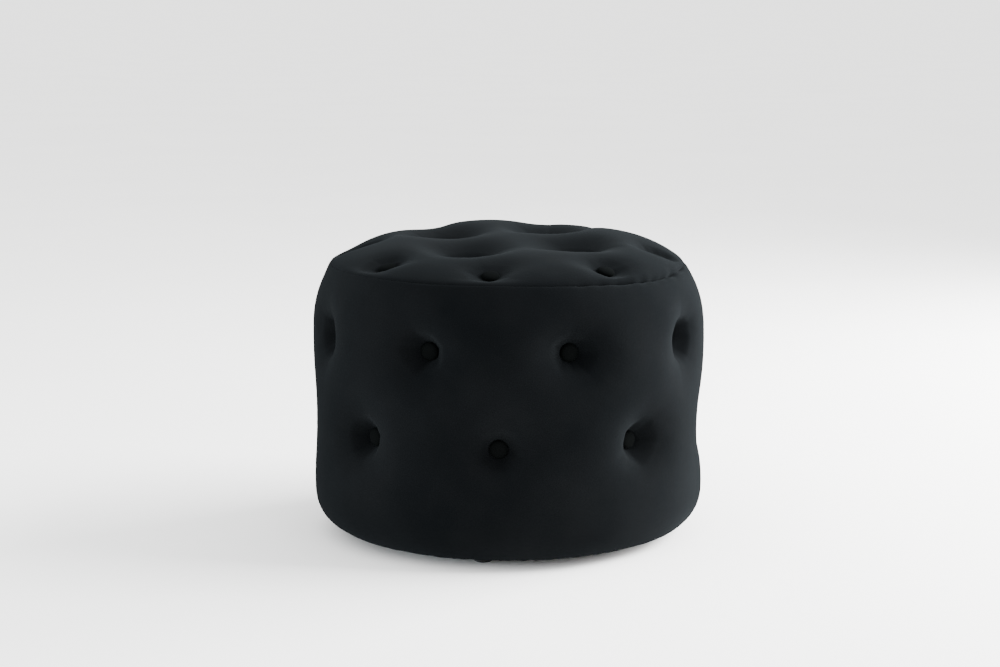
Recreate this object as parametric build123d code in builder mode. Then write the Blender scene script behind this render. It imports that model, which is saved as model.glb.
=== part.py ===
from build123d import *
import os
from math import atan, atan2, cos, radians, sin, sqrt

# Round pouf: a velvet cover, tufted with covered buttons, over foam on a wooden drum.
# Millimetres. +Z is up, the floor is z = 0 and the drum's axis is the Z axis. The front is -Y.

# Cover
overall_diameter = 500.0
overall_height = 380.0
crown_height = 36.0  # of the crown over the seam between the top panel and the side band
crown_flat_radius = 110.0  # of the crown's level middle
crown_drop = 14.0  # fall of the crown from its middle to its rim
rim_width = 31.0  # strip between the crown's rim and the seam
shoulder_inset = 25.0  # from the drum's largest radius in to the seam
shoulder_drop = 72.0  # from the seam down to where the side starts to turn in
lower_edge_radius = 47.0
cover_thickness = 2.0  # least thickness, at the buttons
hem_width = 38.0  # strip of the side band turned under the base
foam_clearance = 0.3  # between the cover and the foam

# Tufts
inner_tuft_count = 4  # in the inner of two rings on the top
inner_ring_radius = 99.0
inner_ring_turn = -28.0  # degrees, against the side's lower row
inner_tuft_depth = 32.0  # from the crown's top to a button's seat
outer_tuft_count = 8
outer_ring_margin = 35.0  # from the seam to an outer button's middle
outer_ring_turn = -3.5  # degrees, against the side's lower row
outer_seat_rise = 6.5  # of an outer button's seat over the seam
outer_tuft_lean = 18.0  # degrees that an outer button faces outwards
top_pit_mouth_radius = 54.0
side_tuft_count = 8  # in each of two rows
lower_row_height = 147.0
upper_row_drop = 81.0  # from the seam
side_tuft_depth = 34.0  # from the drum's largest radius to a button's seat
side_pit_mouth_radius = 62.0
pit_lip = 1.5  # how far above the cover a pit's slope would run out flat
pit_seat_radius = 12.5
pit_bow = 3.0  # bow of the padding's slope towards the button
pit_overrun = 30.0  # how far the cutting shape stands out past its mouth

# Buttons and twine
button_diameter = 22.0
button_edge_height = 2.5
button_height = 7.5
shank_diameter = 4.0
shank_length = 4.0
shank_clearance = 0.3
twine_diameter = 2.0
twine_clearance = 0.5
washer_diameter = 16.0
washer_thickness = 2.0
knot_diameter = 6.0
knot_length = 4.0

# Frame
side_padding = 45.0  # from the drum's largest radius to the bent board round the frame
top_padding = 78.0  # from the crown's top to the top board
wall_thickness = 3.0
wall_clearance = 0.2  # round the boards
wall_gap = 1.5  # where the bent board's ends meet, over a batten
wall_foot_rise = 4.0  # of the bent board over the base board's underside
base_board_thickness = 15.0
base_board_chamfer = 3.0
top_board_thickness = 12.0
upright_count = 8
upright_width = 30.0
upright_depth = 30.0
upright_turn = 11.25  # degrees, so that the battens stand clear of the twine
screw_diameter = 4.0
screw_head_diameter = 8.0
screw_head_height = 3.0
screw_length = 45.0

# Underside
glide_count = 4
glide_turn = -6.5  # degrees
glide_inset = 16.0  # from the base board's edge to a glide's middle
glide_diameter = 23.0
glide_height = 5.0
glide_chamfer = 1.2
nail_diameter = 2.5
nail_head_diameter = 12.0
nail_head_height = 1.0
nail_length = 16.0
dust_cover_inset = 5.0  # from where the lower edge starts to turn up
dust_cover_thickness = 0.8
staple_count = 16
staple_turn = 6.0  # degrees
staple_inset = 17.0  # from the dust cover's edge
staple_crown = 10.0
staple_wire = 0.9
staple_leg = 8.0

# Heights and radii that follow from the sizes above
seam_height = overall_height - crown_height
shoulder_height = seam_height - shoulder_drop
upper_row_height = seam_height - upper_row_drop
inner_seat_height = overall_height - inner_tuft_depth
outer_seat_height = seam_height + outer_seat_rise
side_bottom = glide_height + dust_cover_thickness
base_bottom = side_bottom + cover_thickness
base_top = base_bottom + base_board_thickness
frame_top = overall_height - top_padding
top_board_bottom = frame_top - top_board_thickness
drum_radius = overall_diameter / 2
seam_radius = drum_radius - shoulder_inset
crown_radius = seam_radius - rim_width
outer_ring_radius = seam_radius - outer_ring_margin
foot_radius = drum_radius - lower_edge_radius
hem_radius = foot_radius - hem_width
side_seat_radius = drum_radius - side_tuft_depth
wall_outer_radius = drum_radius - side_padding
wall_inner_radius = wall_outer_radius - wall_thickness
board_radius = wall_inner_radius - wall_clearance
upright_radius = sqrt(board_radius**2 - (upright_width / 2) ** 2) - upright_depth / 2
glide_circle_radius = board_radius - glide_inset
dust_cover_radius = foot_radius - dust_cover_inset
staple_circle_radius = dust_cover_radius - staple_inset

# Slopes of the cover at the crown's rim and on both sides of the seam, for arcs that run on smoothly
crown_slope = 2 * atan(crown_drop / (crown_radius - crown_flat_radius))
rim_slope = 2 * atan2(crown_height - crown_drop, rim_width) - crown_slope
shoulder_slope = 2 * atan2(shoulder_drop, shoulder_inset) - radians(90)

# The tufts' pattern: two rings on the top, and two rows on the side that are half a pitch apart
inner_pitch = 360 / inner_tuft_count
outer_pitch = 360 / outer_tuft_count
side_pitch = 360 / side_tuft_count
top_pit_rise = inner_tuft_depth + pit_lip
side_pit_rise = side_tuft_depth + pit_lip

# Azimuths where the turned forms' own start lines run clear of the pits
top_line_azimuth = outer_ring_turn + outer_pitch / 2
side_line_azimuth = side_pitch / 4

from_bottom = (Align.CENTER, Align.CENTER, Align.MIN)
from_top = (Align.CENTER, Align.CENTER, Align.MAX)

os.makedirs("parts", exist_ok=True)


def at_azimuth(radius, azimuth, height):
    """Point at an azimuth in degrees, counted from the front (-Y) towards +X."""
    angle = radians(azimuth)
    return Vector(radius * sin(angle), -radius * cos(angle), height)


def outward(radius, azimuth, height):
    """Plane at that point which faces straight out from the drum's axis."""
    return Plane(
        origin=at_azimuth(radius, azimuth, height),
        x_dir=(0, 0, 1),
        z_dir=at_azimuth(1, azimuth, 0),
    )


def upward(radius, azimuth, height, lean):
    """Plane at that point which faces up, and leans outwards by some degrees."""
    return Plane(
        origin=at_azimuth(radius, azimuth, height),
        x_dir=at_azimuth(cos(radians(lean)), azimuth, -sin(radians(lean))),
        z_dir=at_azimuth(sin(radians(lean)), azimuth, cos(radians(lean))),
    )


def profile_plane(azimuth):
    """Upright plane through the drum's axis. A turned form starts and ends on it."""
    x_dir = at_azimuth(1, azimuth, 0)
    return Plane(origin=(0, 0, 0), x_dir=x_dir, z_dir=x_dir.cross(Vector(0, 0, 1)))


def inset_point(radius, height, slope, inset):
    """Point of a profile moved inwards, square to a surface that falls away at the slope."""
    return (radius - inset * sin(slope), height - inset * cos(slope))


def dome_solid(inset):
    """Solid under the top panel's surface, the inset under the cover's outside, down to the shoulder."""
    apex = inset_point(0, overall_height, 0, inset)
    flat_edge = inset_point(crown_flat_radius, overall_height, 0, inset)
    knee = inset_point(crown_radius, overall_height - crown_drop, crown_slope, inset)
    rim = inset_point(seam_radius, seam_height, rim_slope, inset)
    with BuildPart() as dome:
        with BuildSketch(profile_plane(top_line_azimuth)):
            with BuildLine():
                Line(apex, flat_edge)
                crown = TangentArc(flat_edge, knee, tangent=(1, 0))
                TangentArc(knee, rim, tangent=crown % 1)
                Polyline(rim, (rim[0], shoulder_height), (0, shoulder_height), apex)
            make_face()
        revolve(axis=Axis.Z)
    return dome.part


def side_solid(inset):
    """Solid inside the side band's surface, which lies the inset under the cover's outside."""
    rim = inset_point(seam_radius, seam_height, shoulder_slope, inset)
    floor = side_bottom + inset
    foot = (foot_radius, floor)
    edge = (drum_radius - inset, side_bottom + lower_edge_radius)
    shoulder = (drum_radius - inset, shoulder_height)
    with BuildPart() as side:
        with BuildSketch(profile_plane(side_line_azimuth)):
            with BuildLine():
                TangentArc(foot, edge, tangent=(1, 0))
                Line(edge, shoulder)
                TangentArc(shoulder, rim, tangent=(0, 1))
                Polyline(rim, (0, rim[1]), (0, floor), foot)
            make_face()
        revolve(axis=Axis.Z)
    return side.part


def soft_pit(rise, mouth_radius):
    """Cutting shape of one tuft: the shank's hole, a flat seat and one arc that runs out flat."""
    hole_radius = shank_diameter / 2 + shank_clearance
    hole_depth = 2 * cover_thickness
    top = rise + pit_overrun
    with BuildPart() as pit:
        with BuildSketch(Plane.XZ):
            with BuildLine():
                TangentArc((mouth_radius, rise), (pit_seat_radius, 0), tangent=(-1, 0))
                Polyline(
                    (pit_seat_radius, 0),
                    (hole_radius, 0),
                    (hole_radius, -hole_depth),
                    (0, -hole_depth),
                    (0, top),
                    (mouth_radius, top),
                    (mouth_radius, rise),
                )
            make_face()
        revolve(axis=Axis.Z)
    return pit.part


def padding_pit(rise, mouth_radius, sink):
    """The same tuft in the padding, with a plainer slope sunk below the cover's seat."""
    top = rise + pit_overrun
    seat = Vector(pit_seat_radius, -sink)
    mouth = Vector(mouth_radius, rise - sink)
    bow = Vector(-rise, mouth_radius - pit_seat_radius).normalized() * pit_bow
    with BuildPart() as pit:
        with BuildSketch(Plane.XZ):
            with BuildLine():
                ThreePointArc(mouth, (mouth + seat) / 2 + bow, seat)
                Polyline(seat, (0, -sink), (0, top), (mouth_radius, top), mouth)
            make_face()
        revolve(axis=Axis.Z)
    return pit.part


# Where the tufts lie
inner_seats = []
for place in range(inner_tuft_count):
    azimuth = inner_ring_turn + place * inner_pitch
    inner_seats.append(upward(inner_ring_radius, azimuth, inner_seat_height, 0))

outer_seats = []
for place in range(outer_tuft_count):
    azimuth = outer_ring_turn + place * outer_pitch
    outer_seats.append(upward(outer_ring_radius, azimuth, outer_seat_height, outer_tuft_lean))
top_seats = inner_seats + outer_seats

lower_seats = []
upper_seats = []
for place in range(side_tuft_count):
    azimuth = place * side_pitch
    lower_seats.append(outward(side_seat_radius, azimuth, lower_row_height))
    upper_seats.append(outward(side_seat_radius, azimuth + side_pitch / 2, upper_row_height))
side_seats = lower_seats + upper_seats

# Depths behind a side seat: to the frame's outer face, and to the face that the washers bear on
side_frame_depth = side_seat_radius - wall_outer_radius
side_washer_depth = side_seat_radius - sqrt(wall_inner_radius**2 - (washer_diameter / 2) ** 2)
foam_hole_radius = shank_diameter / 2 + shank_clearance
frame_hole_radius = twine_diameter / 2 + twine_clearance


def behind(seats, depth):
    """The seats' planes, moved straight back into the padding by a depth."""
    return [seat.offset(-depth) for seat in seats]


def shank_middle(seat):
    """Point inside a button's shank, where its twine is tied."""
    return seat.origin - seat.z_dir * (shank_length / 2)


# Where the top's washers bear under the board. The twine runs straight up from there.
top_anchors = []
for seat in top_seats:
    knot = shank_middle(seat)
    top_anchors.append(
        Plane(origin=(knot.X, knot.Y, top_board_bottom), x_dir=(knot.X, knot.Y, 0), z_dir=(0, 0, 1))
    )


def padding_solid(inset):
    """Everything inside the cover at that inset, with a plain pit under each button."""
    with BuildPart() as padding:
        add(side_solid(inset))
        add(dome_solid(inset))
        with Locations(*top_seats):
            add(padding_pit(top_pit_rise, top_pit_mouth_radius, inset), mode=Mode.SUBTRACT)
        with Locations(*side_seats):
            add(padding_pit(side_pit_rise, side_pit_mouth_radius, inset), mode=Mode.SUBTRACT)
    return padding.part


# Staples and nails come first, because they cut their own holes in what they go through
with BuildPart() as staple:
    with BuildSketch(Plane.XZ):
        with Locations((0, staple_wire / 2)):
            Rectangle(staple_crown, staple_wire)
        with Locations(
            (-(staple_crown - staple_wire) / 2, staple_leg / 2),
            ((staple_crown - staple_wire) / 2, staple_leg / 2),
        ):
            Rectangle(staple_wire, staple_leg)
    extrude(amount=staple_wire / 2, both=True)

with BuildPart() as dust_cover_staples:
    with Locations((0, 0, glide_height - staple_wire)):
        with PolarLocations(staple_circle_radius, staple_count, start_angle=staple_turn):
            add(staple.part, rotation=(0, 0, 90))
dust_cover_staples.part.label = "dust_cover_staples"
export_step(dust_cover_staples.part, "parts/dust_cover_staples.step")

with BuildPart() as glide_nails:
    with Locations((0, 0, glide_height - nail_head_height)):
        with PolarLocations(glide_circle_radius, glide_count, start_angle=glide_turn - 90):
            Cylinder(nail_head_diameter / 2, nail_head_height, align=from_bottom)
            Cylinder(nail_diameter / 2, nail_length, align=from_bottom)
glide_nails.part.label = "glide_nails"
export_step(glide_nails.part, "parts/glide_nails.step")

# Cover: the outside has soft pits, the inside is cut by the padding's own form
cover_inside = padding_solid(cover_thickness)

with BuildPart() as top_cover:
    add(dome_solid(0))
    with BuildSketch(Plane.XY.offset(seam_height)):
        Circle(overall_diameter)
    extrude(amount=-overall_height, mode=Mode.SUBTRACT)
    with Locations(*top_seats):
        add(soft_pit(top_pit_rise, top_pit_mouth_radius), mode=Mode.SUBTRACT)
    add(cover_inside, mode=Mode.SUBTRACT)
top_cover.part.label = "top_cover"
export_step(top_cover.part, "parts/top_cover.step")

with BuildPart() as side_cover:
    add(side_solid(0))
    with Locations(*side_seats):
        add(soft_pit(side_pit_rise, side_pit_mouth_radius), mode=Mode.SUBTRACT)
    add(cover_inside, mode=Mode.SUBTRACT)
    with BuildSketch(Plane.XY):
        Circle(hem_radius)
    extrude(amount=base_top, mode=Mode.SUBTRACT)
    add(dust_cover_staples.part, mode=Mode.SUBTRACT)
    add(glide_nails.part, mode=Mode.SUBTRACT)
side_cover.part.label = "side_cover"
export_step(side_cover.part, "parts/side_cover.step")

# Foam: a sleeve up to the top board's face and a pad over all of it
foam_form = padding_solid(cover_thickness + foam_clearance)

with BuildPart() as side_foam:
    add(foam_form)
    with BuildSketch(Plane.XY):
        Circle(wall_outer_radius + foam_clearance)
    extrude(amount=overall_height, mode=Mode.SUBTRACT)
    with BuildSketch(Plane.XY.offset(frame_top)):
        Circle(overall_diameter)
    extrude(amount=overall_height, mode=Mode.SUBTRACT)
    with Locations(*side_seats):
        Cylinder(foam_hole_radius, 2 * side_frame_depth, mode=Mode.SUBTRACT)
side_foam.part.label = "side_foam"
export_step(side_foam.part, "parts/side_foam.step")

with BuildPart() as top_foam:
    add(foam_form)
    with BuildSketch(Plane.XY):
        Circle(overall_diameter)
    extrude(amount=frame_top, mode=Mode.SUBTRACT)
    twine_hole_height = inner_seat_height - top_board_bottom
    with Locations(*top_anchors):
        Cylinder(foam_hole_radius, twine_hole_height, align=from_bottom, mode=Mode.SUBTRACT)
    with Locations(*outer_seats):
        Cylinder(foam_hole_radius, shank_length + shank_clearance, align=from_top, mode=Mode.SUBTRACT)
top_foam.part.label = "top_foam"
export_step(top_foam.part, "parts/top_foam.step")

# Covered buttons, with the twine, the washer and the knot behind each one
with BuildPart() as button:
    with BuildSketch(Plane.XZ):
        with BuildLine():
            edge = (button_diameter / 2, button_edge_height)
            TangentArc((0, button_height), edge, tangent=(1, 0))
            Polyline(
                edge,
                (button_diameter / 2, 0),
                (shank_diameter / 2, 0),
                (shank_diameter / 2, -shank_length),
                (0, -shank_length),
                (0, button_height),
            )
        make_face()
    revolve(axis=Axis.Z)

tuft_groups = (
    ("top", top_seats, top_anchors),
    ("upper_side", upper_seats, behind(upper_seats, side_washer_depth)),
    ("lower_side", lower_seats, behind(lower_seats, side_washer_depth)),
)
for group, seats, anchors in tuft_groups:
    with BuildPart() as buttons:
        with Locations(*seats):
            add(button.part)
    buttons.part.label = group + "_buttons"
    export_step(buttons.part, "parts/" + group + "_buttons.step")

    with BuildPart() as twines:
        for seat, anchor in zip(seats, anchors):
            reach = (shank_middle(seat) - anchor.origin).dot(anchor.z_dir)
            with Locations(anchor.offset(-washer_thickness)):
                Cylinder(twine_diameter / 2, washer_thickness + reach, align=from_bottom)
                Cylinder(knot_diameter / 2, knot_length, align=from_top)
        add(buttons.part, mode=Mode.SUBTRACT)
    twines.part.label = group + "_twines"
    export_step(twines.part, "parts/" + group + "_twines.step")

    with BuildPart() as washers:
        with Locations(*anchors):
            Cylinder(washer_diameter / 2, washer_thickness, align=from_top)
            Cylinder(frame_hole_radius, washer_thickness, align=from_top, mode=Mode.SUBTRACT)
    washers.part.label = group + "_washers"
    export_step(washers.part, "parts/" + group + "_washers.step")

# Frame: the screws cut their own holes in the wood
with BuildPart() as screw:
    with BuildSketch(Plane.XZ):
        with BuildLine():
            Polyline(
                (0, 0),
                (screw_head_diameter / 2, 0),
                (screw_diameter / 2, screw_head_height),
                (screw_diameter / 2, screw_length),
                (0, screw_length),
                close=True,
            )
        make_face()
    revolve(axis=Axis.Z)

with BuildPart() as base_screws:
    with Locations((0, 0, base_bottom)):
        with PolarLocations(upright_radius, upright_count, start_angle=upright_turn - 90):
            add(screw.part)
base_screws.part.label = "base_screws"
export_step(base_screws.part, "parts/base_screws.step")

with BuildPart() as top_screws:
    with Locations((0, 0, frame_top)):
        with PolarLocations(upright_radius, upright_count, start_angle=upright_turn - 90):
            add(screw.part, rotation=(180, 0, 0))
top_screws.part.label = "top_screws"
export_step(top_screws.part, "parts/top_screws.step")

with BuildPart() as base_board:
    with BuildSketch(Plane.XY.offset(base_bottom)):
        Circle(board_radius)
    extrude(amount=base_board_thickness)
    chamfer(base_board.edges().group_by(Axis.Z)[0], base_board_chamfer)
    add(base_screws.part, mode=Mode.SUBTRACT)
    add(glide_nails.part, mode=Mode.SUBTRACT)
    add(dust_cover_staples.part, mode=Mode.SUBTRACT)
base_board.part.label = "base_board"
export_step(base_board.part, "parts/base_board.step")

with BuildPart() as top_board:
    with BuildSketch(Plane.XY.offset(top_board_bottom)):
        Circle(board_radius)
    extrude(amount=top_board_thickness)
    add(top_screws.part, mode=Mode.SUBTRACT)
    with Locations(*top_anchors):
        Cylinder(frame_hole_radius, 3 * top_board_thickness, mode=Mode.SUBTRACT)
top_board.part.label = "top_board"
export_step(top_board.part, "parts/top_board.step")

for place in range(upright_count):
    azimuth = upright_turn + place * 360 / upright_count
    foot = Plane(
        origin=at_azimuth(upright_radius, azimuth, base_top),
        x_dir=at_azimuth(1, azimuth, 0),
        z_dir=(0, 0, 1),
    )
    with BuildPart() as upright:
        with BuildSketch(foot):
            Rectangle(upright_depth, upright_width)
        extrude(amount=top_board_bottom - base_top)
        add(base_screws.part, mode=Mode.SUBTRACT)
        add(top_screws.part, mode=Mode.SUBTRACT)
    name = "upright_" + str(place + 1)
    upright.part.label = name
    export_step(upright.part, "parts/" + name + ".step")

wall_foot = base_bottom + wall_foot_rise
with BuildPart() as drum_wall:
    with BuildSketch(Plane.XY.offset(wall_foot)):
        Circle(wall_outer_radius)
        Circle(wall_inner_radius, mode=Mode.SUBTRACT)
        with PolarLocations(wall_inner_radius, 1, start_angle=upright_turn + 90):
            Rectangle(4 * wall_thickness, wall_gap, mode=Mode.SUBTRACT)
    extrude(amount=frame_top - wall_foot)
    with Locations(*behind(side_seats, side_frame_depth)):
        Cylinder(frame_hole_radius, 4 * wall_thickness, mode=Mode.SUBTRACT)
drum_wall.part.label = "drum_wall"
export_step(drum_wall.part, "parts/drum_wall.step")

# Underside
with BuildPart() as dust_cover:
    with BuildSketch(Plane.XY.offset(glide_height)):
        Circle(dust_cover_radius)
    extrude(amount=dust_cover_thickness)
    add(glide_nails.part, mode=Mode.SUBTRACT)
    add(dust_cover_staples.part, mode=Mode.SUBTRACT)
dust_cover.part.label = "dust_cover"
export_step(dust_cover.part, "parts/dust_cover.step")

for place in range(glide_count):
    spot = at_azimuth(glide_circle_radius, glide_turn + place * 360 / glide_count, 0)
    with BuildPart() as glide:
        with BuildSketch(Plane.XY):
            with Locations((spot.X, spot.Y)):
                Circle(glide_diameter / 2)
        extrude(amount=glide_height)
        chamfer(glide.edges().group_by(Axis.Z)[0], glide_chamfer)
        add(glide_nails.part, mode=Mode.SUBTRACT)
    name = "glide_" + str(place + 1)
    glide.part.label = name
    export_step(glide.part, "parts/" + name + ".step")
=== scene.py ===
# %% [markdown]
# # A round pouf in button-tufted velvet
#
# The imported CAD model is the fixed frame. It already holds the drum, the padding, the buttons and
# the glides at their real places. This lesson puts the looks on it: the tufted velvet, the covered
# buttons, the sewn seam, and a finish for every piece. All lengths in Blender are metres, so sizes
# that are easier to read in millimetres are multiplied by MM.

# %% Load the frame
import math

import bmesh
import bpy
import numpy as np
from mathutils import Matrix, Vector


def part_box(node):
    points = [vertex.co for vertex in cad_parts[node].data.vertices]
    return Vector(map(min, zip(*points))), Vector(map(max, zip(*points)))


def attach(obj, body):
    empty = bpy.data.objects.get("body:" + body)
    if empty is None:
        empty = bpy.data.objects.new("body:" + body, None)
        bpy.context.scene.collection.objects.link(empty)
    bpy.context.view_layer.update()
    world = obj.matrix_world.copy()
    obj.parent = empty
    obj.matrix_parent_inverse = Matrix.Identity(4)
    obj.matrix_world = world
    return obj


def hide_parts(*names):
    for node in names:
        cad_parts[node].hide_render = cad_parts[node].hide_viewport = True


MM = 0.001
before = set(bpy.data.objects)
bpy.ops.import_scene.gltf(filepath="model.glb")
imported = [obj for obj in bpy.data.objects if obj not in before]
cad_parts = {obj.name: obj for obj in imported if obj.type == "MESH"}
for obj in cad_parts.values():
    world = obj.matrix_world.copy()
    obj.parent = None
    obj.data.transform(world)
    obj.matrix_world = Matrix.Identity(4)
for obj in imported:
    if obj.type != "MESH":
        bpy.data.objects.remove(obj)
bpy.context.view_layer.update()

# %% [markdown]
# ## Sizes read from the frame
#
# The outline of the cover comes from the boxes of its CAD nodes, so this script follows the CAD
# model if that changes. A few values that a box can't tell, such as the radius of an edge, are
# named here with the same meaning as in the part's source.

# %% Sizes of the cover
side_low, side_high = (np.array(corner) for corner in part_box("side_cover"))
top_low, top_high = (np.array(corner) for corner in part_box("top_cover"))

DRUM_RADIUS = side_high[0]
SIDE_BOTTOM = side_low[2]
SEAM_RADIUS = top_high[0]
SEAM_HEIGHT = top_low[2]
CROWN_TOP = top_high[2]
WALL_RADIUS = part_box("drum_wall")[1][0]
BOARD_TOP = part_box("top_board")[1][2]
LOWER_EDGE_RADIUS = 47 * MM
HEM_WIDTH = 38 * MM
SHOULDER_DROP = 72 * MM
RIM_WIDTH = 31 * MM
CROWN_FLAT_RADIUS = 110 * MM
CROWN_DROP = 14 * MM
print("drum radius", round(DRUM_RADIUS, 4), "seam", round(SEAM_RADIUS, 4), round(SEAM_HEIGHT, 4))

# %% Where the buttons sit
# Azimuth is counted from the front, -Y, towards +X.
SIDE_COUNT = 8
SIDE_PITCH = 2 * math.pi / SIDE_COUNT
LOWER_AZIMUTHS = SIDE_PITCH * np.arange(SIDE_COUNT)
UPPER_AZIMUTHS = LOWER_AZIMUTHS + SIDE_PITCH / 2
BUTTON_RADIUS = (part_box("lower_side_buttons")[1][2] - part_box("lower_side_buttons")[0][2]) / 2
BUTTON_HEIGHT = 7.5 * MM
LOWER_ROW_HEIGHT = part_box("lower_side_buttons")[1][2] - BUTTON_RADIUS
UPPER_ROW_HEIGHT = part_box("upper_side_buttons")[1][2] - BUTTON_RADIUS
SIDE_SEAT_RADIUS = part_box("lower_side_buttons")[1][0] - BUTTON_HEIGHT
INNER_COUNT, INNER_RADIUS, INNER_TURN = 4, 99 * MM, math.radians(-28.0)
INNER_SEAT_HEIGHT = CROWN_TOP - 32 * MM  # the inner buttons are pulled in this far
OUTER_COUNT, OUTER_RADIUS, OUTER_TURN = 8, SEAM_RADIUS - 35 * MM, math.radians(-3.5)
OUTER_SEAT_HEIGHT = SEAM_HEIGHT + 6.5 * MM
OUTER_LEAN = math.radians(18.0)  # the outer buttons face a little outwards


def turned(r, z, azimuth):
    """Points at a radius, a height and an azimuth from the front."""
    r, z, azimuth = np.broadcast_arrays(r, z, azimuth)
    return np.stack([r * np.sin(azimuth), -r * np.cos(azimuth), z], -1)


inner_azimuths = INNER_TURN + 2 * np.pi * np.arange(INNER_COUNT) / INNER_COUNT
outer_azimuths = OUTER_TURN + 2 * np.pi * np.arange(OUTER_COUNT) / OUTER_COUNT
TOP_SEATS = np.concatenate(
    [
        turned(INNER_RADIUS, INNER_SEAT_HEIGHT, inner_azimuths),
        turned(OUTER_RADIUS, OUTER_SEAT_HEIGHT, outer_azimuths),
    ]
)
TOP_OUTWARDS = np.concatenate(
    [turned(0.0, 1.0, inner_azimuths), turned(math.sin(OUTER_LEAN), math.cos(OUTER_LEAN), outer_azimuths)]
)
print("top buttons", len(TOP_SEATS), "side buttons", len(LOWER_AZIMUTHS) + len(UPPER_AZIMUTHS))

# %% [markdown]
# ## The camera
#
# The photograph was taken from a little above the pouf with a long lens. Its place was worked out
# from the ellipses of the top seam and of the lower edge: 2.8 m away, 0.71 m high, tilted down by
# about nine degrees. The pouf's front button is turned three degrees from the view.

# %% Camera
CAMERA_DISTANCE = 2.8
CAMERA_HEIGHT = 0.713
CAMERA_TILT = math.radians(9.34)
CAMERA_AZIMUTH = math.radians(3.0)
AXIS_SIDESTEP = math.radians(0.22)  # the pouf's axis lies a little right of the picture's middle

camera_data = bpy.data.cameras.new("photo_camera")
camera_data.sensor_width = 36
camera_data.lens = 79.0
camera = bpy.data.objects.new("photo_camera", camera_data)
camera.location = (
    CAMERA_DISTANCE * math.sin(CAMERA_AZIMUTH),
    -CAMERA_DISTANCE * math.cos(CAMERA_AZIMUTH),
    CAMERA_HEIGHT,
)
camera.rotation_euler = (math.pi / 2 - CAMERA_TILT, 0, CAMERA_AZIMUTH + AXIS_SIDESTEP)
bpy.context.scene.collection.objects.link(camera)
bpy.context.scene.camera = camera
print("camera at", [round(c, 3) for c in camera.location])

# %% [markdown]
# ## Helpers for meshes and materials
#
# Every new piece is a grid of points worked out with numpy. It could be modelled by hand as well, but
# a formula can be read and changed later. One function turns such a grid into a mesh, one adds a
# shader node with its settings and links, and one turns a colour picked as sRGB into the linear
# values that the renderer works with.


# %% Grid to mesh
WELD = 0.002 * MM  # points nearer than this become one, as at the pole of a dome


def grid_faces(rows, columns, wrap=False, close=False):
    """Quads of a grid: each cell joins a point to its right, upper right and upper neighbour.

    wrap joins the last column to the first, and close joins the last row to the first.
    """
    i, j = np.meshgrid(
        np.arange(rows if close else rows - 1), np.arange(columns if wrap else columns - 1), indexing="ij"
    )
    right, up = (j + 1) % columns, (i + 1) % rows
    corners = [i * columns + j, i * columns + right, up * columns + right, up * columns + j]
    return np.stack(corners, -1).reshape(-1, 4)


def mesh_object(name, points, faces, material):
    """Smooth object at the origin from an array of points and an array of quads, welded at poles."""
    mesh = bpy.data.meshes.new(name)
    mesh.from_pydata(np.asarray(points).reshape(-1, 3).tolist(), [], np.asarray(faces).tolist())
    body = bmesh.new()
    body.from_mesh(mesh)
    bmesh.ops.remove_doubles(body, verts=body.verts, dist=WELD)
    body.to_mesh(mesh)
    body.free()
    mesh.shade_smooth()
    mesh.materials.append(material)
    piece = bpy.data.objects.new(name, mesh)
    bpy.context.scene.collection.objects.link(piece)
    return piece


# %% Smooth steps and waves
def fade(x):
    """Smooth S from 0 at x = 0 to 1 at x = 1."""
    x = np.clip(x, 0, 1)
    return x * x * (3 - 2 * x)


def uneven(angle, waves, seed):
    """Smooth random number between about -1 and 1 for each angle round the drum.

    A sum of cosines whose wave counts lie near the given one, with seeded sizes and phases. Whole
    wave counts close the pattern round the drum.
    """
    random = np.random.default_rng(seed)
    counts = np.unique(np.round(waves * np.linspace(0.5, 1.5, 9)))
    sizes = random.uniform(0.4, 1.0, len(counts))
    phases = random.uniform(0, 2 * np.pi, len(counts))
    total = (np.cos(np.asarray(angle)[..., None] * counts + phases) * sizes).sum(-1)
    highest = 1.6  # the highest sums come to about this many times the root of the squares
    return total / np.sqrt((sizes**2).sum()) / highest


# %% Colours and nodes
def linear(hex_colour):
    """Linear RGBA of an sRGB hex colour such as 202426."""
    values = np.array([int(hex_colour[k : k + 2], 16) for k in (0, 2, 4)]) / 255
    values = np.where(values <= 0.04045, values / 12.92, ((values + 0.055) / 1.055) ** 2.4)
    return (*values.tolist(), 1.0)


def new_material(name, preview):
    """Node material with the colour that the viewport shows, and a socket that gives the place on it.

    The place is in object coordinates, so metres from the origin, where every piece's object sits.
    """
    material = bpy.data.materials.new(name)
    material.use_nodes = True
    material.node_tree.nodes.clear()
    material.diffuse_color = linear(preview)
    return material, add_node(material, "TexCoord").outputs["Object"]


def add_node(material, kind, stops=(), **values):
    """Adds one shader node, and sets each value on the input, or else the setting, of that name.

    In a name, an underscore stands for a blank. A socket as a value is linked, and so is the first
    output of a node. The stops of a colour ramp are pairs of a place and an sRGB hex colour.
    """
    node = material.node_tree.nodes.new("ShaderNode" + kind)
    for name, value in values.items():
        socket = node.inputs.get(name.replace("_", " "))
        value = value.outputs[0] if isinstance(value, bpy.types.Node) else value
        if socket is None:
            setattr(node, name, value)
        elif isinstance(value, bpy.types.NodeSocket):
            material.node_tree.links.new(value, socket)
        else:
            socket.default_value = value
    for _ in stops[2:]:
        node.color_ramp.elements.new(0.5)
    for k, (position, colour) in enumerate(stops):
        node.color_ramp.elements[k].position = position
        node.color_ramp.elements[k].color = linear(colour)
    return node


LUMP = 0.5  # about how wide a noise texture's lumps are at scale 1, in metres
BAND = 0.25  # the same for a wave texture's bands


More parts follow.
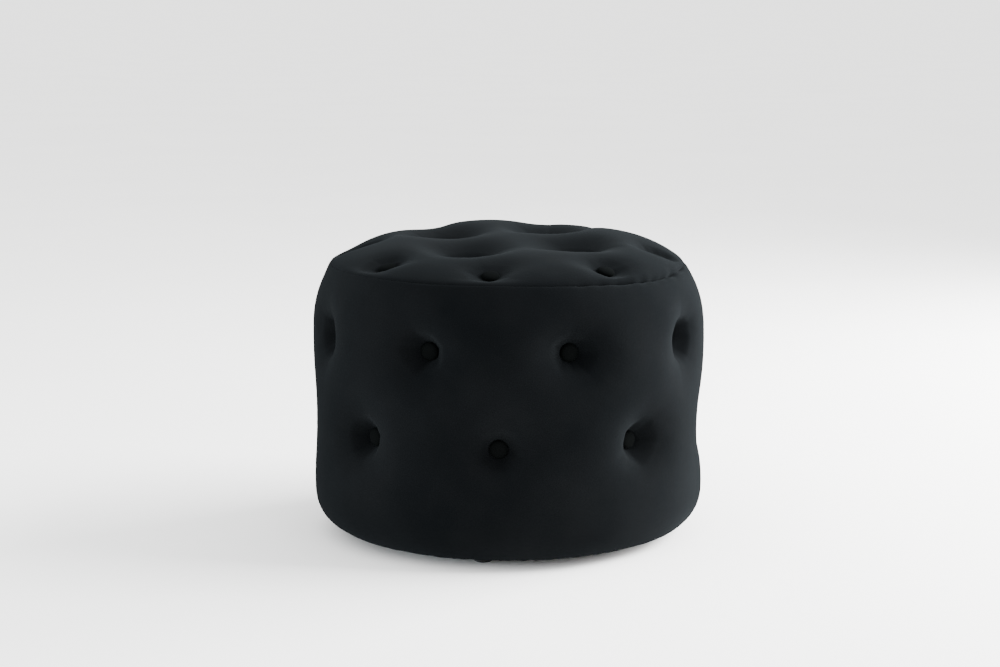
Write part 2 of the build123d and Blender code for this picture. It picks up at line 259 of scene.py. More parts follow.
# %% [markdown]
# ## The velvet
#
# The cover is a short-pile polyester velvet, dyed near black with a cool cast. Its upright fibres
# swallow light that falls straight in, so it looks almost black from the front, and catch light
# along their sides, so it turns grey where the surface slopes away. Principled sheen does that.
# The pile also lies in slightly different directions where hands have stroked it, which shows as
# soft, broad patches. Hairs could be grown on the mesh instead, but none is wide enough to show here.


# %% Velvet material
def velvet_material(name, dark, light, sheen):
    """Near-black velvet: dark base, soft sheen, brushed patches and a fine pile bump."""
    material, place = new_material(name, "1a1e20")
    patches = add_node(
        material, "TexNoise", Vector=place, Scale=LUMP / (60 * MM), Detail=3.0, Roughness=0.55
    )
    # Real pile is about 0.2 mm wide. It is drawn at 1.2 mm, so that it still shows in the render.
    pile = add_node(material, "TexNoise", Vector=place, Scale=LUMP / (1.2 * MM), Detail=2.0, Roughness=0.6)
    shader = add_node(
        material,
        "BsdfPrincipled",
        Base_Color=add_node(material, "ValToRGB", [(0.34, dark), (0.68, light)], Fac=patches),
        Roughness=0.6,
        Specular_IOR_Level=0.0,  # upright fibres scatter light and mirror none of it
        Sheen_Weight=sheen,
        Sheen_Roughness=0.6,
        Sheen_Tint=linear("e9f7ff"),
        Normal=add_node(material, "Bump", Height=pile, Distance=0.5 * MM, Strength=0.35),
    )
    add_node(material, "OutputMaterial", Surface=shader)
    return material


velvet = velvet_material("velvet_near_black", "060708", "0a0b0c", 0.0135)
# Drawn tight over a button, the pile is pressed flat: less of it stands up to catch the light. Its lower
# sheen and slightly darker base are partly that and partly painted shade, which darkens the buttons as if
# they lay deep in the shade of their pits.
pressed_and_shaded_velvet = velvet_material("velvet_pressed_flat_painted_shade", "060707", "080909", 0.004)
print("made", velvet.name, "and", pressed_and_shaded_velvet.name)

# %% [markdown]
# ## The shape of a tuft
#
# A button is sewn through the padding and pulled in. Beside it the velvet forms a steep pocket,
# and round that a wide, shallow bowl, because foam pushes the cloth back out further away. Each
# panel moves its points along the line of the button's own pull. Right beside the button the padding
# bulges up against its edge. No two tufts are sewn alike, so each one is a little out of round. Tufts
# can be sculpted too. A formula sets each one exactly on its seat, and serves the foam again.

# %% Sizes of a tuft
SEAT_RADIUS = 11 * MM
POCKET_WIDTH = 19 * MM
LEAN_SHARE, OVAL_SHARE = 0.10, 0.07  # how far a tuft leans to one side, and is drawn out to two
CREASE_COUNT, CREASE_SHARE = 5, 0.12
HUG_SHARE, HUG_REACH = 0.13, 4 * MM  # the padding bulges up against the edge of the button
SIDE_BOWL, SIDE_POCKET = 30 * MM, 0.5  # a bowl's reach, and the pocket's part of the depth
INNER_BOWL, INNER_POCKET = 36 * MM, 0.35
OUTER_BOWL, OUTER_POCKET = 27 * MM, 0.5
TOP_HOLD = 16 * MM  # nearer to the seam than this, the pull of the top's buttons fades out
ROW_SEED, TOP_SEED = 10, 40  # where the seeds of the rows and of the top start
print("a pocket is", round(POCKET_WIDTH / MM), "mm wide, a bowl", round(SIDE_BOWL / MM), "mm on the side")


# %% Pull of one button
def tuft_pull(across, along_velvet, seed, bowl, pocket):
    """How far in a point is pulled, as a share of the depth at the button.

    With d the way out from the edge of the button's seat, the share is
    p * (1 - S(d / pocket width)) + (1 - p) * exp(-(d / bowl)^2), where p is the pocket's part of the
    depth and S a smooth step. It is 1 on the seat itself, and just outside it drops by the hug's share,
    times S(d / hug's reach). Before that, d is stretched by up to a sixth in two seeded directions, and
    shortened along five narrow creases that fade away from the button.
    """
    random = np.random.default_rng(seed)
    lean, oval, crease = random.uniform(0, 2 * np.pi, 3)
    angle = np.arctan2(along_velvet, across)
    way_out = np.maximum(np.hypot(across, along_velvet) - SEAT_RADIUS, 0)
    creases = np.maximum(np.cos(CREASE_COUNT * angle + crease + np.sin(2 * angle + oval)), 0) ** 3
    way_out = way_out * (1 + LEAN_SHARE * np.cos(angle - lean) + OVAL_SHARE * np.cos(2 * (angle - oval)))
    way_out = way_out * (1 - CREASE_SHARE * creases * np.exp(-way_out / bowl))
    share = pocket * (1 - fade(way_out / POCKET_WIDTH)) + (1 - pocket) * np.exp(-((way_out / bowl) ** 2))
    return share * (1 - HUG_SHARE * fade(way_out / HUG_REACH))


# %% Pull on the band and on the top
def turn_from(seat, azimuth):
    """Turn from a seat to an azimuth, the short way round, between -pi and pi."""
    return (azimuth - seat + np.pi) % (2 * np.pi) - np.pi


def pull_side(points, run, azimuth, inset=0.0):
    """Moves each point X by -share * (X.a - seat) * a, with a the button's outward direction.

    The share comes from the distance over the velvet: round the drum, and along its outline.
    """
    moved = points.copy()
    radius = np.hypot(points[..., 0], points[..., 1])
    for row, (row_run, azimuths) in enumerate(zip(ROW_RUNS, (LOWER_AZIMUTHS, UPPER_AZIMUTHS))):
        for k, seat in enumerate(azimuths):
            outward = turned(1.0, 0.0, seat)
            turn = turn_from(seat, azimuth)
            share = tuft_pull(radius * turn, run - row_run, ROW_SEED * row + k, SIDE_BOWL, SIDE_POCKET)
            moved -= (share * (points @ outward - (SIDE_SEAT_RADIUS - inset)))[..., None] * outward
    return moved


def pull_top(points, from_seam, inset=0.0):
    """The same on the top, with the distance measured square to the button's axis.

    The pull fades out at the seam, so that the panel still meets the side band there.
    """
    moved = points.copy()
    for k, (seat, outward) in enumerate(zip(TOP_SEATS, TOP_OUTWARDS)):
        bowl, pocket = (INNER_BOWL, INNER_POCKET) if k < INNER_COUNT else (OUTER_BOWL, OUTER_POCKET)
        way = points - (seat - inset * outward)
        height = way @ outward
        flat = way - height[..., None] * outward
        share = tuft_pull(flat[..., 0], flat[..., 1], TOP_SEED + k, bowl, pocket)
        share = share * fade(from_seam / TOP_HOLD)
        moved -= (share * height)[..., None] * outward
    return moved


# %% [markdown]
# ## Letting the velvet settle
#
# The formula gives where the velvet is held. How it lies between those places is left to Blender's
# cloth solver: the seats of the buttons, the seam and the hem are pinned, the foam presses from
# inside as a little air pressure, and gravity is off because the padding carries the cloth. Twenty
# frames are enough. The move of each point is capped, so the cover keeps its size.


# %% Points and normals
def array_of(items, key):
    """Array with one vector for each item of a mesh, such as the places of its points."""
    values = np.empty(len(items) * 3)
    items.foreach_get(key, values)
    return values.reshape(-1, 3)


# %% Cloth settling
SLIP = 2 * MM  # most that a point may move sideways


def settle(name, grid, faces, pinned, pressure, swell, sink, frames=20):
    """Runs the cloth solver on a grid and returns each point's move, within swell out and sink in."""
    cloth_piece = mesh_object(name, grid, faces, velvet)
    start = array_of(cloth_piece.data.vertices, "co")
    normals = array_of(cloth_piece.data.vertex_normals, "vector")
    sewn = cloth_piece.vertex_groups.new(name="sewn")
    sewn.add(np.flatnonzero(pinned).tolist(), 1.0, "REPLACE")
    cloth = cloth_piece.modifiers.new("settle", "CLOTH")
    cloth.settings.quality = 5
    cloth.settings.mass = 0.05
    cloth.settings.tension_stiffness = cloth.settings.compression_stiffness = 5
    cloth.settings.shear_stiffness = 2
    cloth.settings.vertex_group_mass = "sewn"
    cloth.settings.use_pressure = True
    cloth.settings.uniform_pressure_force = pressure
    cloth.settings.effector_weights.gravity = 0
    cloth.collision_settings.use_collision = False
    cloth.point_cache.frame_end = frames
    for number in range(1, frames + 1):
        bpy.context.scene.frame_set(number)
    settled = cloth_piece.evaluated_get(bpy.context.evaluated_depsgraph_get())
    move = array_of(settled.data.vertices, "co") - start
    bpy.data.objects.remove(cloth_piece)
    bpy.context.scene.frame_set(1)
    outward = (move * normals).sum(-1, keepdims=True)
    sideways = np.clip(move - outward * normals, -SLIP, SLIP)
    print(name, "moved out", round(outward.max() / MM, 1), "in", round(-outward.min() / MM, 1), end=" ")
    print("on average", round(outward.mean() / MM, 2), end=" ")
    print("and sideways", round(np.abs(sideways).max() / MM, 1), "mm")
    return (sideways + np.clip(outward, -sink, swell) * normals).reshape(grid.shape)


# %% Finer grid
def halved(values, axis, wrap=False):
    """The values with one more between each two, then smoothed once with weights 1, 2, 1."""
    values = np.moveaxis(values, axis, 0)
    after = np.roll(values, -1, 0) if wrap else np.concatenate([values[1:], values[-1:]])
    fine = np.stack([values, (values + after) / 2], 1).reshape(-1, *values.shape[1:])
    fine = fine if wrap else fine[:-1]
    before = np.roll(fine, 1, 0) if wrap else np.concatenate([fine[:1], fine[:-1]])
    after = np.roll(fine, -1, 0) if wrap else np.concatenate([fine[1:], fine[-1:]])
    return np.moveaxis((before + 2 * fine + after) / 4, 0, axis)


# %% [markdown]
# ## The side band
#
# The band's outline is turned round the drum's axis: the hem under the base, the rounded lower
# edge, the straight wall and the shoulder that leans in to the seam. The outline is drawn as a
# dense line first and then resampled: rows about 5 mm apart, and closer beside the seam, where the
# velvet dips into a narrow groove. The last row is the seam allowance inside. A Screw modifier could
# turn the outline too, but the tufts need the place of every point on the grid.


# %% Lines and arcs
def arc(centre, radius, start, end, count=60):
    """Points on a circle from one angle to another, in radians from +r towards +z."""
    angle = np.linspace(start, end, count)
    return np.stack([centre[0] + radius * np.cos(angle), centre[1] + radius * np.sin(angle)], -1)


def along(line):
    """Length along a line of points, starting from 0."""
    return np.concatenate([[0], np.cumsum(np.linalg.norm(np.diff(line, axis=0), axis=1))])


def points_at(line, places):
    """Radius and height at these lengths along a line."""
    length = along(line)
    return [np.interp(places, length, line[:, k]) for k in (0, 1)]


# %% Outlines of the band and the crown
def side_outline():
    """Radius and height from the hem's inner edge, round the lower edge, up to the seam."""
    foot = DRUM_RADIUS - LOWER_EDGE_RADIUS
    inset = DRUM_RADIUS - SEAM_RADIUS
    shoulder_radius = (inset**2 + SHOULDER_DROP**2) / (2 * inset)
    lean = 2 * math.atan2(inset, SHOULDER_DROP)
    hem = np.array([[foot - HEM_WIDTH, SIDE_BOTTOM], [foot - 1 * MM, SIDE_BOTTOM]])
    edge = arc((foot, SIDE_BOTTOM + LOWER_EDGE_RADIUS), LOWER_EDGE_RADIUS, -math.pi / 2, 0)
    shoulder = arc((DRUM_RADIUS - shoulder_radius, SEAM_HEIGHT - SHOULDER_DROP), shoulder_radius, 0, lean)
    return np.concatenate([hem, edge, shoulder])


def crown_outline():
    """Radius and height from the crown's level middle, over its rim, down to the seam."""
    crown_radius = SEAM_RADIUS - RIM_WIDTH
    slope = 2 * math.atan(CROWN_DROP / (crown_radius - CROWN_FLAT_RADIUS))
    big = (crown_radius - CROWN_FLAT_RADIUS) / math.sin(slope)
    middle = np.array([[0.0, CROWN_TOP], [CROWN_FLAT_RADIUS - 1 * MM, CROWN_TOP]])
    crown = arc((CROWN_FLAT_RADIUS, CROWN_TOP - big), big, math.pi / 2, math.pi / 2 - slope)
    fall = CROWN_TOP - CROWN_DROP - SEAM_HEIGHT
    end_slope = 2 * math.atan2(fall, RIM_WIDTH) - slope
    small = math.hypot(RIM_WIDTH, fall) / (2 * math.sin((end_slope - slope) / 2))
    centre = (crown_radius - small * math.sin(slope), CROWN_TOP - CROWN_DROP - small * math.cos(slope))
    rim = arc(centre, small, math.pi / 2 - slope, math.pi / 2 - end_slope)[1:]
    return np.concatenate([middle, crown, rim])


# %% Lengths over the velvet
SIDE_LINE, CROWN_LINE = side_outline(), crown_outline()
SIDE_LENGTH, CROWN_LENGTH = along(SIDE_LINE)[-1], along(CROWN_LINE)[-1]
CLIMB = slice(60, None)  # the points of the band's outline from where it only climbs
ROW_RUNS = [
    np.interp(height, SIDE_LINE[CLIMB, 1], along(SIDE_LINE)[CLIMB])
    for height in (LOWER_ROW_HEIGHT, UPPER_ROW_HEIGHT)
]
SEAM_INWARD = np.array([-0.77, -0.64])  # way into the padding at the seam, over r and z
SEAM_ALLOWANCE = 6 * MM  # width of the cloth that is turned in behind the seam
print("velvet from hem to seam", round(SIDE_LENGTH / MM), "mm")
print("velvet from seam to middle", round(CROWN_LENGTH / MM), "mm")

# %% [markdown]
# ## Seams
#
# The top panel is sewn to the band, and the band's two ends are sewn together at the back. Where the
# cloth is drawn evenly over the foam, the top seam stands up as a soft crease with a fine stitch line
# in it, and the light changes there at once. On the right the thread was pulled tighter, and the seam
# sinks into a ragged groove. All of this is worked into the settled cloth afterwards, because the
# solver would smooth it away. A bump in the material would be simpler, but wouldn't change the outline.

# %% Seam crease and grooves
CREASE_HEIGHT, CREASE_REACH = 5.5 * MM, 18 * MM
STITCH_DEPTH, STITCH_REACH = 1.6 * MM, 2.0 * MM
TIGHT_DEPTH, TIGHT_REACH = 8.0 * MM, 3.6 * MM
TIGHT_AZIMUTH, TIGHT_SPAN = math.radians(60), math.radians(26)
CLOSING_AZIMUTH = math.radians(191.25)  # at the back, between two buttons
CLOSING_DEPTH, CLOSING_REACH = 2.4 * MM, 2.5 * MM
CLOSING_FOOT, CLOSING_HEAD = 10 * MM, 6 * MM  # over these it runs out to the hem and to the top seam
SEAM_HOLD = 45 * MM  # nearer to the seam than this, the stitches keep the velvet from swelling


def seam_groove(from_seam, azimuth):
    """How far in the velvet lies near the seam: stitch line and tight groove, less the crease.

    Each of the three falls off as exp(-distance / reach). The tight part is a bell over the azimuth,
    exp(-(turn / span)^2), and the crease fades where that is. Waves of a seeded size break them up.
    """
    tight = np.exp(-((turn_from(TIGHT_AZIMUTH, azimuth) / TIGHT_SPAN) ** 2))
    broad, fine = uneven(azimuth, waves=8, seed=3), uneven(azimuth, waves=48, seed=4)
    stitch = STITCH_DEPTH * (1 + 0.3 * broad + 0.2 * fine)
    ragged = TIGHT_DEPTH * tight * (1 + 0.5 * uneven(azimuth, waves=40, seed=8))
    crease = CREASE_HEIGHT * (1 - tight**0.4) * (1 + 0.15 * uneven(azimuth, waves=6, seed=9))
    d = np.maximum(from_seam, 0)
    sunk = stitch * np.exp(-d / STITCH_REACH) + ragged * np.exp(-d / TIGHT_REACH)
    return sunk - crease * np.exp(-d / CREASE_REACH)


def inward(depth, azimuth):
    """Move by a depth along the seam's own direction into the padding."""
    return turned(depth * SEAM_INWARD[0], depth * SEAM_INWARD[1], azimuth)


# %% Rows and columns of the band
def side_rows():
    """Lengths along the outline: even rows, then closer ones up to the seam."""
    body = np.linspace(0, SIDE_LENGTH - 12 * MM, 74)
    return np.concatenate([body, SIDE_LENGTH - np.array([9, 6.5, 4.5, 3, 1.8, 0.8, 0]) * MM])


def side_columns():
    """Azimuths: even columns, with two closer ones on each side of the closing seam."""
    extra = CLOSING_AZIMUTH + np.array([-2.8, -1.2, 1.2, 2.8]) * MM / DRUM_RADIUS
    return np.sort(np.concatenate([np.linspace(0, 2 * np.pi, 288, endpoint=False), extra]))


def between(values, period=None):
    """The values with one more halfway between each two, round the circle if there is a period."""
    after = np.append(values[1:], values[0] + period) if period else np.append(values[1:], values[-1])
    fine = np.stack([values, (values + after) / 2], 1).ravel()
    return fine if period else fine[:-1]


# %% Grid of the band
def side_grid(rows, columns):
    """Lengths, azimuths and tufted points of the band over these rows and columns."""
    run, azimuth = np.meshgrid(rows, columns, indexing="ij")
    return run, azimuth, pull_side(turned(*points_at(SIDE_LINE, run), azimuth), run, azimuth)


def near_side_seat(run, azimuth):
    """True on the seats of the side's buttons."""
    found = np.zeros(run.shape, bool)
    for row_run, azimuths in zip(ROW_RUNS, (LOWER_AZIMUTHS, UPPER_AZIMUTHS)):
        turn = turn_from(azimuths, azimuth[..., None])
        found |= (np.hypot(DRUM_RADIUS * turn, run[..., None] - row_run) < SEAT_RADIUS).any(-1)
    return found


# %% Settled band
side_run, side_azimuth, side_points = side_grid(
    between(side_rows()), between(side_columns(), 2 * np.pi)
)
run, azimuth, coarse = side_grid(side_rows(), side_columns())
pinned = near_side_seat(run, azimuth) | (run < HEM_WIDTH) | (run > SIDE_LENGTH - 1 * MM)
faces = grid_faces(*run.shape, wrap=True)
move = settle("side_cloth", coarse, faces, pinned.ravel(), pressure=30, swell=6 * MM, sink=2 * MM)
move = move * fade((SIDE_LENGTH - run) / SEAM_HOLD)[..., None]
side_points = side_points + halved(halved(move, 0), 1, wrap=True)
print("side band points", side_run.shape)

# %% Seams of the band
groove = seam_groove(SIDE_LENGTH - side_run, side_azimuth)
side_points = side_points + inward(groove, side_azimuth)
from_closing = np.abs(side_azimuth - CLOSING_AZIMUTH) * DRUM_RADIUS
closing = CLOSING_DEPTH * np.exp(-from_closing / CLOSING_REACH)
closing = closing * fade((side_run - HEM_WIDTH) / CLOSING_FOOT)
closing = closing * fade((SIDE_LENGTH - side_run) / CLOSING_HEAD)
side_points = side_points - turned(closing, 0, side_azimuth)
print("closing seam depth", round(closing.max() / MM, 2), "mm")

# %% Hem
PUCKER_COUNT, PUCKER_TOP, PUCKER_FADE = 64, 45 * MM, 50 * MM  # small pulls near the hem
SLACK_COUNT, SLACK_MIDDLE, SLACK_REACH = 9, 40 * MM, 45 * MM  # broad slack waves above it
EDGE_LIFT = 0.9 * MM  # size of both
hem_pucker = 0.5 * (1 + uneven(side_azimuth, PUCKER_COUNT, seed=5))
hem_pucker = hem_pucker * fade((HEM_WIDTH + PUCKER_TOP - side_run) / PUCKER_FADE)
slack = uneven(side_azimuth, SLACK_COUNT, seed=6)
slack = slack * np.exp(-(((side_run - HEM_WIDTH - SLACK_MIDDLE) / SLACK_REACH) ** 2))
side_points = side_points + turned(-EDGE_LIFT * slack, EDGE_LIFT * hem_pucker, side_azimuth)
print("hem pulled up by", round(EDGE_LIFT * hem_pucker.max() / MM, 2), "mm at most")

# %% Side cover
side_edge = side_points[-1] + inward(SEAM_ALLOWANCE, side_azimuth[-1])
side_points = np.concatenate([side_points, [side_edge]])
side_cover = mesh_object(
    "side_cover_velvet", side_points, grid_faces(*side_points.shape[:2], wrap=True), velvet
)
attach(side_cover, "root")
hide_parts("side_cover")
print("side cover faces", len(side_cover.data.polygons))

# %% [markdown]
# ## The top panel
#
# The top is a disc. A grid of squares is squeezed into the disc, so that no ring of thin triangles
# meets in the middle, and then laid over the crown's outline.


# %% Disc of squares
def disc_grid(rings):
    """Ring number and angle of each point of a square grid that is squeezed into a disc.

    The ring is the larger of |u| and |v|. The angle is that of the square's side there, plus or minus
    45 degrees times the smaller over the larger.
    """
    u, v = np.meshgrid(np.arange(-rings, rings + 1), np.arange(-rings, rings + 1), indexing="ij")
    ring = np.maximum(np.abs(u), np.abs(v))
    flat = np.abs(u) >= np.abs(v)
    share = np.where(flat, v / np.where(u == 0, 1, u), u / np.where(v == 0, 1, v)) * np.pi / 4
    across, along_v = np.where(u >= 0, 0, np.pi), np.where(v >= 0, np.pi / 2, -np.pi / 2)
    angle = np.where(flat, across + share, along_v - share)
    return ring, angle


# %% Grid of the top
TOP_RINGS = 49
CROWN_LEAN = 0.045  # the padding is fuller towards the back, as a rise over the way back
LEAN_HOLD = 70 * MM  # nearer to the seam than this, the lean fades out
CLOSE_RINGS = CROWN_LENGTH - np.array([12, 8.5, 5.5, 3, 1.2, 0]) * MM


def leaning(points, from_seam):
    """Raises the back of the crown and lowers its front, and leaves the seam as it is.

    The rise is the lean * y, times a smooth step of the distance from the seam over the hold.
    """
    rise = CROWN_LEAN * points[..., 1] * fade(from_seam / LEAN_HOLD)
    return points + rise[..., None] * np.array([0, 0, 1])


def top_grid(finer):
    """Ring numbers, lengths from the middle, azimuths and tufted points of the panel."""
    ring, angle = disc_grid(TOP_RINGS * finer)
    known = np.concatenate([[0], np.arange(TOP_RINGS - 5, TOP_RINGS + 1)])
    run = np.interp(ring / finer, known, np.concatenate([[0], CLOSE_RINGS]))
    points = turned(*points_at(CROWN_LINE, run), angle)
    return ring, run, angle, pull_top(leaning(points, CROWN_LENGTH - run), CROWN_LENGTH - run)


# %% Settled top
top_ring, top_run, top_angle, top_points = top_grid(2)
ring, run, angle, coarse = top_grid(1)
seat_gap = np.linalg.norm(coarse[..., None, :] - TOP_SEATS, axis=-1).min(-1)
pinned = (seat_gap < SEAT_RADIUS) | (run > CROWN_LENGTH - 2 * MM)
faces = grid_faces(*ring.shape)[:, ::-1]
move = settle("top_cloth", coarse, faces, pinned.ravel(), pressure=38, swell=8 * MM, sink=2 * MM)
move = move * fade((CROWN_LENGTH - run) / SEAM_HOLD)[..., None]
top_points = top_points + halved(halved(move, 0), 1)
top_points = top_points + inward(seam_groove(CROWN_LENGTH - top_run, top_angle), top_angle)
top_faces = grid_faces(*top_ring.shape)[:, ::-1]
print("top panel points", top_ring.shape)

# %% Top cover with its seam allowance
rim_order = np.argsort(top_angle[top_ring == top_ring.max()])
rim_points = np.flatnonzero((top_ring == top_ring.max()).ravel())[rim_order]
rim_inside = top_points.reshape(-1, 3)[rim_points] + inward(SEAM_ALLOWANCE, top_angle.ravel()[rim_points])
inside_numbers = top_ring.size + np.arange(len(rim_points))
rim_faces = np.stack(
    [rim_points, inside_numbers, np.roll(inside_numbers, -1), np.roll(rim_points, -1)], -1
)
top_cover = mesh_object(
    "top_cover_velvet",
    np.concatenate([top_points.reshape(-1, 3), rim_inside]),
    np.concatenate([top_faces, rim_faces]),
    velvet,
)
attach(top_cover, "root")
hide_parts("top_cover")
highest = round(top_points[..., 2].max() / MM, 1)
print("highest point of the top", highest, "mm, faces", len(top_cover.data.polygons))

# %% [markdown]
# ## Covered buttons
#
# Each button is a low metal dome with velvet drawn over it and gathered behind. Its outline is one
# line turned round the button's axis: dome, rounded edge, back and shank. The gathers make the
# back half slightly wavy. One button is worked out and then laid on every seat of its row. Each could
# be an object of its own, but a row is one CAD node, so one mesh stands for it.


# %% Button surface
SHANK_RADIUS, SHANK_LENGTH = 2 * MM, 4 * MM
BUTTON_EDGE = 2.6 * MM  # height of the rounded edge above the seat
GATHER_COUNT, GATHER_SHARE = 12, 0.025  # folds behind the edge, and their part of the radius
GATHER_TOP, GATHER_FADE = 4.5 * MM, 3 * MM  # where the folds start, and the way down to their full size


def button_grid(columns=36):
    """Rows from the middle of the dome, round the edge and the back, to the end of the shank.

    Dome and back are quarter turns, made flatter by powers of the sine and cosine. Behind the edge the
    radius swings with the cosine of the angle times the number of gathers.
    """
    front = np.linspace(0, np.pi / 2, 14)[:, None]
    back = np.linspace(np.pi / 2, np.pi, 12)[1:-2, None]
    r = np.concatenate([np.sin(front) ** 0.8, np.sin(back) ** 0.6]) * BUTTON_RADIUS
    dome = np.cos(front) ** 0.8 * (BUTTON_HEIGHT - BUTTON_EDGE)
    w = np.concatenate([dome, np.cos(back) * BUTTON_EDGE]) + BUTTON_EDGE
    shank_r = SHANK_RADIUS * np.array([1, 1, 1, 0])[:, None]
    shank_w = SHANK_LENGTH * np.array([0.0125, -0.5, -1, -1])[:, None]
    r, w = np.concatenate([r, shank_r]), np.concatenate([w, shank_w])
    angle = np.linspace(0, 2 * np.pi, columns, endpoint=False)[None, :]
    gather = fade((GATHER_TOP - w) / GATHER_FADE) * (r > SHANK_RADIUS + 0.5 * MM)
    r = r * (1 + GATHER_SHARE * gather * np.cos(GATHER_COUNT * angle))
    return np.stack([r * np.cos(angle), r * np.sin(angle), w + 0 * angle], -1)


# %% Laying buttons on their seats
def lay_buttons(name, seats, outwards, node):
    """One piece with a button on each seat, its axis along the seat's outward direction."""
    button = button_grid()
    outwards = np.asarray(outwards, float)
    helper = np.where(np.abs(outwards[:, 2:]) > 0.9, [[0.0, 1.0, 0.0]], [[0.0, 0.0, 1.0]])
    first = np.cross(helper, outwards)
    first /= np.linalg.norm(first, axis=1, keepdims=True)
    axes = np.stack([first, np.cross(outwards, first), outwards], 1)
    points = np.einsum("rck,nkx->nrcx", button, axes) + np.asarray(seats)[:, None, None, :]
    one = grid_faces(*button.shape[:2], wrap=True)[:, ::-1]
    count = button.shape[0] * button.shape[1]
    faces = np.concatenate([one + k * count for k in range(len(seats))])
    # The buttons take the pressed velvet, whose darker base and low sheen are partly painted shade.
    piece = mesh_object(name, points, faces, pressed_and_shaded_velvet)
    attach(piece, "root")
    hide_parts(node)
    print(name, len(seats), "buttons,", len(piece.data.polygons), "faces")


# %% Rows and rings of buttons
SIDE_ROWS = (
    ("lower", LOWER_AZIMUTHS, LOWER_ROW_HEIGHT),
    ("upper", UPPER_AZIMUTHS, UPPER_ROW_HEIGHT),
)
for label, azimuths, height in SIDE_ROWS:
    lay_buttons(
        f"{label}_side_buttons_velvet",
        turned(SIDE_SEAT_RADIUS, height, azimuths),
        turned(1.0, 0.0, azimuths),
        f"{label}_side_buttons",
    )
lay_buttons("top_buttons_velvet", TOP_SEATS, TOP_OUTWARDS, "top_buttons")

# %% [markdown]
# ## The padding
#
# Two pieces of cut polyurethane foam lie under the velvet: a collar round the drum and a thick disc
# on the top board. They follow the velvet's formula a few millimetres further in. Nothing of them
# shows on a finished pouf, but the part also has to make sense when its cover is taken off.


# %% Foam material
def foam_material():
    """Cream foam with open cells, a little yellowed in patches."""
    material, place = new_material("polyurethane_foam_cream", "efe3bd")
    cells = add_node(material, "TexVoronoi", Vector=place, Scale=1 / (2.0 * MM))
    yellowed = add_node(material, "TexNoise", Vector=place, Scale=LUMP / (80 * MM))
    shader = add_node(
        material,
        "BsdfPrincipled",
        Base_Color=add_node(material, "ValToRGB", [(0.3, "e8d9ac"), (0.7, "f3ead0")], Fac=yellowed),
        Roughness=0.95,
        Specular_IOR_Level=0.2,
        Normal=add_node(material, "Bump", Height=cells, Distance=0.8 * MM, Strength=0.6),
    )
    add_node(material, "OutputMaterial", Surface=shader)
    return material


foam = foam_material()
print("made", foam.name)

# %% Foam helpers
FOAM_INSET = 5 * MM
FOAM_SEAM_DEPTH, FOAM_SEAM_REACH = 10 * MM, 9 * MM  # how far the foam keeps below the seam
foam_azimuth = np.linspace(0, 2 * np.pi, 240, endpoint=False)[None, :]


def inset_line(line, inset):
    """The line moved to its left, which is inward for an outline that runs anticlockwise."""
    way = np.gradient(line, axis=0)
    way /= np.linalg.norm(way, axis=1, keepdims=True)
    return line + inset * np.stack([-way[:, 1], way[:, 0]], -1)


def under_seam(points, from_seam):
    """Keeps the foam below the seam's groove and the cloth that is turned in behind it.

    The way in is the depth * exp(-distance / reach).
    """
    depth = FOAM_SEAM_DEPTH * np.exp(-from_seam / FOAM_SEAM_REACH) + 0 * foam_azimuth
    return points + inward(depth, foam_azimuth)


def foam_piece(name, points, node):
    """Closed turned piece: the given rows, joined last to first."""
    piece = mesh_object(name, points, grid_faces(*points.shape[:2], wrap=True, close=True), foam)
    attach(piece, "root")
    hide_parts(node)
    print(name, len(piece.data.polygons), "faces")


# %% Foam under the band
FOAM_JOINT = 2 * MM  # collar and disc end this far below and above the top board's upper face
COLLAR_START = HEM_WIDTH + 22 * MM
UNDER_GAP = 0.4 * MM  # the disc's flat underside keeps this far off the board
SEAM_GAP = 4 * MM  # the foam ends this far from the seam, measured over the velvet
side_inner_line = inset_line(SIDE_LINE, FOAM_INSET)


def side_foam(start, end, count):
    """Lengths along the band's outline, and the tufted rows of foam under it."""
    run = np.linspace(start, end, count)[:, None]
    r, z = (np.interp(run, along(SIDE_LINE), side_inner_line[:, k]) for k in (0, 1))
    return run, pull_side(turned(r, z, foam_azimuth), run, foam_azimuth, FOAM_INSET)


def run_at(height):
    """Length along the band's outline at which the foam under it reaches a height."""
    return np.interp(height, side_inner_line[CLIMB, 1], along(SIDE_LINE)[CLIMB])


# %% Foam collar
_, collar = side_foam(COLLAR_START, run_at(BOARD_TOP - FOAM_JOINT), 50)
collar_foot = collar[0, 0, 2]
# The back stands just off the drum's wall, and its corners are cut a little.
back_r = WALL_RADIUS + np.array([2, 0.5, 0.5, 1.5])[:, None] * MM
back_z = np.array([BOARD_TOP - 1 * MM, BOARD_TOP - 2 * MM, collar_foot + 3 * MM, collar_foot])[:, None]
collar = np.concatenate([collar, turned(back_r, back_z, foam_azimuth)])
foam_piece("side_foam_collar", collar, "side_foam")

# %% Foam disc
shoulder_run, shoulder = side_foam(run_at(BOARD_TOP + FOAM_JOINT), SIDE_LENGTH - SEAM_GAP, 9)
crown_run = np.linspace(CROWN_LENGTH - SEAM_GAP, 0, 46)
crown_r, crown_z = points_at(inset_line(CROWN_LINE[::-1], FOAM_INSET)[::-1], crown_run)
crown_gap = CROWN_LENGTH - crown_run[:, None]
crown = leaning(turned(crown_r[:, None], crown_z[:, None], foam_azimuth), crown_gap)
crown = pull_top(crown, crown_gap, FOAM_INSET)
shoulder = under_seam(shoulder, SIDE_LENGTH - shoulder_run)
crown = under_seam(crown, crown_gap)
# The last row is the pole, so its points all meet there.
crown[-1, :, :2] = 0
crown[-1, :, 2] = crown[-1, :, 2].mean()
under_r = np.array([0, 60 * MM, 140 * MM, WALL_RADIUS + 4 * MM])
under = turned(under_r[:, None], BOARD_TOP + UNDER_GAP, foam_azimuth)
disc = np.concatenate([shoulder, crown, under])
foam_piece("top_foam_disc", disc, "top_foam")

# %% [markdown]
# ## Underneath
#
# A thin black non-woven cloth closes the underside. It is stapled over the hem and stretched, so it
# is nearly flat, with faint pulls from each staple and a slight sag in the middle. For so little a
# formula is enough, and the cloth solver isn't needed.


